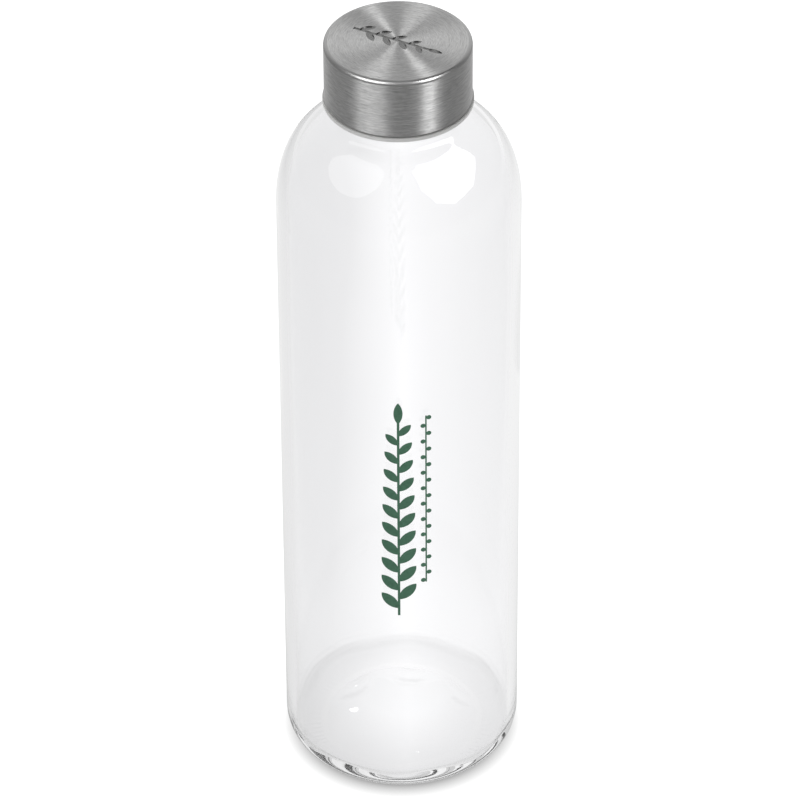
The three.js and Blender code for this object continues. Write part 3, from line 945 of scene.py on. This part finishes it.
def make_gasket():
    soft = 0.25
    corners = (
        ((gasket_radius - soft, gasket_bottom + soft), -90),
        ((gasket_radius - soft, gasket_top - soft), 0),
        ((gasket_hole_radius + soft, gasket_top - soft), 90),
        ((gasket_hole_radius + soft, gasket_bottom + soft), 180),
    )
    outline = []
    for centre, start in corners:
        outline += arc(centre, soft, start, start + 90, 5)
    outline.append(outline[0])
    gasket = turned("seal_ring", [stretch(outline)], closed=True)
    return finish_piece(gasket, "seal", "cap_gasket", "silicone", gasket_material())


def make_adhesive():
    radius = liner_radius - ADHESIVE_MARGIN
    soft = ADHESIVE_THICKNESS / 2
    middle = (adhesive_bottom + adhesive_top) / 2
    edge = arc((radius - soft, middle), soft, -90, 90, 8)
    outline = [(0, adhesive_bottom), *edge, (0, adhesive_top)]
    film = turned("glue_film", [stretch(outline)])
    return finish_piece(film, "cap", "cap_adhesive", "glue", glue_material())


# ---- Camera, floor and light ----


def toward(azimuth, elevation):
    """A direction from the bottle: azimuth in degrees from the front round to +X, elevation above level."""
    a, e = math.radians(azimuth), math.radians(elevation)
    return Vector((math.sin(a) * math.cos(e), -math.cos(a) * math.cos(e), math.sin(e)))


CAMERA_DISTANCE = 1.65276
CAMERA_ELEVATION = 37.34
CAMERA_TARGET = (0, 0, 0.12248)
CAMERA_LENS = 254.7
CAMERA_ROLL = -0.0058  # radians
SENSOR_WIDTH = 36


def make_camera():
    data = bpy.data.cameras.new("camera")
    data.sensor_width = SENSOR_WIDTH
    data.lens = CAMERA_LENS
    data.clip_start, data.clip_end = 0.05, 50
    camera = bpy.data.objects.new("camera", data)
    bpy.context.collection.objects.link(camera)
    back = toward(0, CAMERA_ELEVATION)
    camera.location = Vector(CAMERA_TARGET) + back * CAMERA_DISTANCE
    camera.rotation_mode = "QUATERNION"
    look = (-back).to_track_quat("-Z", "Y")
    camera.rotation_quaternion = look @ Quaternion((0, 0, 1), CAMERA_ROLL)
    bpy.context.scene.camera = camera


def by_ray(nodes, camera, transmission, glossy, other):
    """One brightness for each kind of ray that reaches a stage surface."""
    path = nodes.add("ShaderNodeLightPath")
    chosen = other
    order = (
        ("Is Glossy Ray", glossy),
        ("Is Transmission Ray", transmission),
        ("Is Camera Ray", camera),
    )
    for flag, value in order:
        mix = nodes.add("ShaderNodeMix", data_type="FLOAT")
        nodes.link(path.outputs[flag], mix.inputs["Factor"])
        for socket, source in ((mix.inputs["A"], chosen), (mix.inputs["B"], value)):
            if isinstance(source, (int, float)):
                socket.default_value = source
            else:
                nodes.link(source, socket)
        chosen = mix.outputs["Result"]
    return chosen


FLOOR_RADIUS = 1.6
CONTACT_REACH = 0.006  # how far the contact shadow spreads from the base
SIDE_REACH = 0.05  # how far to each side the floor behind the glass changes
LIT_SPOT_BACK = 0.012  # the brightest spot of the base lies this far behind the axis
LIT_SPOT_RADIUS = 0.012
SHADED_RADIUS = 0.047
BASE_SHADE = 0.27
FOOTPRINT_IN = 0.036
FOOTPRINT_OUT = 0.043
MIRROR_BACK = 0.28  # what the glass mirrors of the floor is brightest this far behind the axis
MIRROR_IN = 0.15
MIRROR_OUT = 0.42


def emitter(name):
    """A glowing stage material; returns it with its nodes and the glow shader."""
    material = bpy.data.materials.new(name)
    material.use_nodes = True
    nodes = Nodes(material.node_tree)
    output = nodes.add("ShaderNodeOutputMaterial")
    glow = nodes.add("ShaderNodeEmission")
    nodes.link(glow.outputs[0], output.inputs["Surface"])
    return material, nodes, glow


def polygon_rim(centre, side, up, corners):
    """Corners round a centre; side and up are the half axes."""
    rim = []
    for i in range(corners):
        angle = TURN * (i + 0.5) / corners
        rim.append(tuple(centre + side * math.cos(angle) + up * math.sin(angle)))
    return rim


def glowing_sheet(name, rim):
    """A flat glowing sheet inside the rim, in metres; returns it with its nodes and the glow shader."""
    mesh = bpy.data.meshes.new(name)
    mesh.from_pydata(rim, [], [tuple(range(len(rim)))])
    sheet = bpy.data.objects.new(name, mesh)
    bpy.context.collection.objects.link(sheet)
    material, nodes, glow = emitter(name)
    mesh.materials.append(material)
    return sheet, nodes, glow


def make_floor():
    """A pale sweep, white to the camera but for the contact shadow. Seen through the glass it is
    dimmer to the sides and towards the edge of the base."""
    reach = Vector((FLOOR_RADIUS, 0, 0)), Vector((0, FLOOR_RADIUS, 0))
    floor, nodes, glow = glowing_sheet("floor", polygon_rim(Vector((0, 0, 0)), *reach, 96))
    split = nodes.add("ShaderNodeSeparateXYZ")
    nodes.link(object_place(nodes), split.inputs[0])
    x, y, _ = split.outputs
    # Places from left to right. Only the brightness of each colour counts, as the value is a strength.
    left_to_right = [
        (0.0, (0.85, 0.85, 0.86)),
        (0.22, (0.875, 0.875, 0.885)),
        (0.52, (1.075, 1.075, 1.08)),
        (0.64, (1.02, 1.02, 1.025)),
        (0.82, (0.975, 0.975, 0.985)),
        (1.0, (0.96, 0.96, 0.97)),
    ]
    behind = nodes.ramp(nodes.ranged(x, -SIDE_REACH, SIDE_REACH, 0, 1), left_to_right)
    from_lit = nodes.length(x, nodes.math("SUBTRACT", y, LIT_SPOT_BACK))
    darker = nodes.ranged(from_lit, LIT_SPOT_RADIUS, SHADED_RADIUS, 0.0, BASE_SHADE)
    in_footprint = nodes.ranged(nodes.length(x, y), FOOTPRINT_IN, FOOTPRINT_OUT, 1.0, 0.0)
    under = nodes.math("SUBTRACT", 1.0, nodes.math("MULTIPLY", darker, in_footprint))
    behind = nodes.math("MULTIPLY", behind, under)
    from_mirror = nodes.length(x, nodes.math("SUBTRACT", y, MIRROR_BACK))
    mirrored = nodes.ranged(from_mirror, MIRROR_IN, MIRROR_OUT, 0.85, 0.3)
    hollow = nodes.add("ShaderNodeAmbientOcclusion", samples=24)
    hollow.inputs["Distance"].default_value = CONTACT_REACH
    seen = nodes.math("MULTIPLY", nodes.math("POWER", hollow.outputs["AO"], 0.58), 1.25)
    nodes.link(by_ray(nodes, seen, behind, mirrored, 0.9), glow.inputs["Strength"])


def mirror_of(azimuth, tilt):
    """Where a facet shows from the camera: its azimuth from the front round to +X, its tilt above level."""
    facet = toward(azimuth, tilt)
    eye = toward(0, CAMERA_ELEVATION)
    return 2 * facet.dot(eye) * facet - eye


PANEL_AIM = 0.22  # the height on the bottle that the panels face


def panel_frame(low, high, distance):
    """Centre, sideways and upward directions and length of a panel that spans two directions."""
    middle = (low + high).normalized()
    span = (high - low) * distance
    up = (span - middle * span.dot(middle)).normalized()
    centre = Vector((0, 0, PANEL_AIM)) + middle * distance
    return centre, up.cross(middle), up, middle, span.length


def glass_lamp(name, rim, strength, receivers):
    """A glowing sheet that lights only the receivers, hidden from the camera."""
    lamp, _, glow = glowing_sheet(name, rim)
    glow.inputs["Strength"].default_value = strength
    lamp.visible_camera = False
    lamp.visible_shadow = False
    lamp.light_linking.receiver_collection = receivers
    return lamp


def octagon_panel(name, low, high, distance, width, strength, receivers):
    """A glowing octagon whose outline shows as a reflection in the shoulder."""
    centre, side, up, _, length = panel_frame(low, high, distance)
    sides = 8
    reach = 0.5 / math.cos(TURN / 2 / sides)
    rim = polygon_rim(centre, side * (width * reach), up * (length * reach), sides)
    panel = glass_lamp(name, rim, strength, receivers)
    panel.visible_transmission = False


SPARK_SPOT = Vector((-23.0, -13.0, 0))  # millimetres from the axis
SPARK_DISTANCE = 1.2
SPARK_RADIUS = 0.006


def spark_lamp(receivers):
    """A tiny far lamp behind the bottle. It puts one bright dot on the inner floor."""
    height = inner_floor_top - INNER_FLOOR_CROWN * (SPARK_SPOT.length / inner_floor_radius) ** 2
    lean = 2 * INNER_FLOOR_CROWN / inner_floor_radius**2
    normal = (SPARK_SPOT * lean + Vector((0, 0, 1))).normalized()
    eye = toward(0, CAMERA_ELEVATION)
    out = 2 * normal.dot(eye) * normal - eye
    centre = (SPARK_SPOT + Vector((0, 0, height))) * MM + out * SPARK_DISTANCE
    side = out.orthogonal().normalized() * SPARK_RADIUS
    lamp = glass_lamp("spark_lamp", polygon_rim(centre, side, out.cross(side), 24), 30.0, receivers)


WATTS_FOR_STRENGTH = 4  # for each square metre of an area light


def soft_light(name, low, high, distance, width, strength, receivers, shape="RECTANGLE"):
    """An area light from a low to a high direction that lights only the receivers."""
    centre, side, up, middle, length = panel_frame(low, high, distance)
    data = bpy.data.lights.new(name, "AREA")
    data.shape = shape
    data.size, data.size_y = width, length
    data.energy = WATTS_FOR_STRENGTH * width * length * strength
    light = bpy.data.objects.new(name, data)
    bpy.context.collection.objects.link(light)
    axes = Matrix((side, up, middle)).transposed()
    light.matrix_world = Matrix.Translation(centre) @ axes.to_4x4()
    light.visible_camera = False
    light.visible_transmission = False
    light.light_linking.receiver_collection = receivers


def receivers_of(name, pieces):
    group = bpy.data.collections.new(name)
    for piece in pieces:
        group.objects.link(piece)
    return group


def make_world():
    """White behind everything seen straight or through the glass; a dimmer studio in reflections."""
    world = bpy.data.worlds.new("studio")
    world.use_nodes = True
    bpy.context.scene.world = world
    nodes = Nodes(world.node_tree)
    output = nodes.add("ShaderNodeOutputWorld")
    coordinate = nodes.add("ShaderNodeTexCoord")
    split = nodes.add("ShaderNodeSeparateXYZ")
    nodes.link(coordinate.outputs["Generated"], split.inputs[0])
    _, y, z = split.outputs
    through = nodes.ranged(z, 0.1, 0.8, 0.98, 0.8)
    back = nodes.ranged(y, 0.35, 0.85, 0.0, 0.75)
    mirrored = nodes.math("ADD", back, nodes.ranged(z, 0.0, 1.0, 0.24, 0.34))
    background = nodes.add("ShaderNodeBackground")
    strength = by_ray(nodes, 1.05, through, mirrored, 0.8)
    nodes.link(strength, background.inputs["Strength"])
    nodes.link(background.outputs[0], output.inputs["Surface"])


LIGHT_BOUNCES = 96  # fewer leave black patches where light runs inside the glass


def make_stage(bottle, steel):
    """Camera, floor and sky, with two lights and a spark for the glass and two strips for the steel."""
    make_camera()
    make_floor()
    make_world()
    glass = receivers_of("light_on_glass", bottle)
    cap = receivers_of("light_on_cap", [steel])
    octagon = mirror_of(22.5, 24.5), mirror_of(36, 77.5)
    octagon_panel("octagon_right", *octagon, distance=1.3, width=1.32, strength=4.0, receivers=glass)
    ellipse = toward(-43, 24), toward(-140, 62)
    soft_light("ellipse_left", *ellipse, 0.9, width=0.8, strength=0.8, receivers=glass, shape="ELLIPSE")
    spark_lamp(glass)
    right = mirror_of(24.3, 30), mirror_of(24.3, 50)
    soft_light("strip_right", *right, 0.9, width=0.24, strength=7.6, receivers=cap)
    left = mirror_of(-21, 28), mirror_of(-21, 50)
    soft_light("strip_left", *left, 0.9, width=0.62, strength=2.9, receivers=cap)
    scene = bpy.context.scene
    scene.view_settings.view_transform = "Standard"
    scene.cycles.max_bounces = LIGHT_BOUNCES
    scene.cycles.transmission_bounces = LIGHT_BOUNCES
    scene.cycles.glossy_bounces = LIGHT_BOUNCES
    scene.cycles.use_denoising = True


bottle_pieces = [make_bottle(), *make_prints()]
shell = make_shell()
make_adhesive()
make_liner()
make_gasket()
make_stage(bottle_pieces, shell)
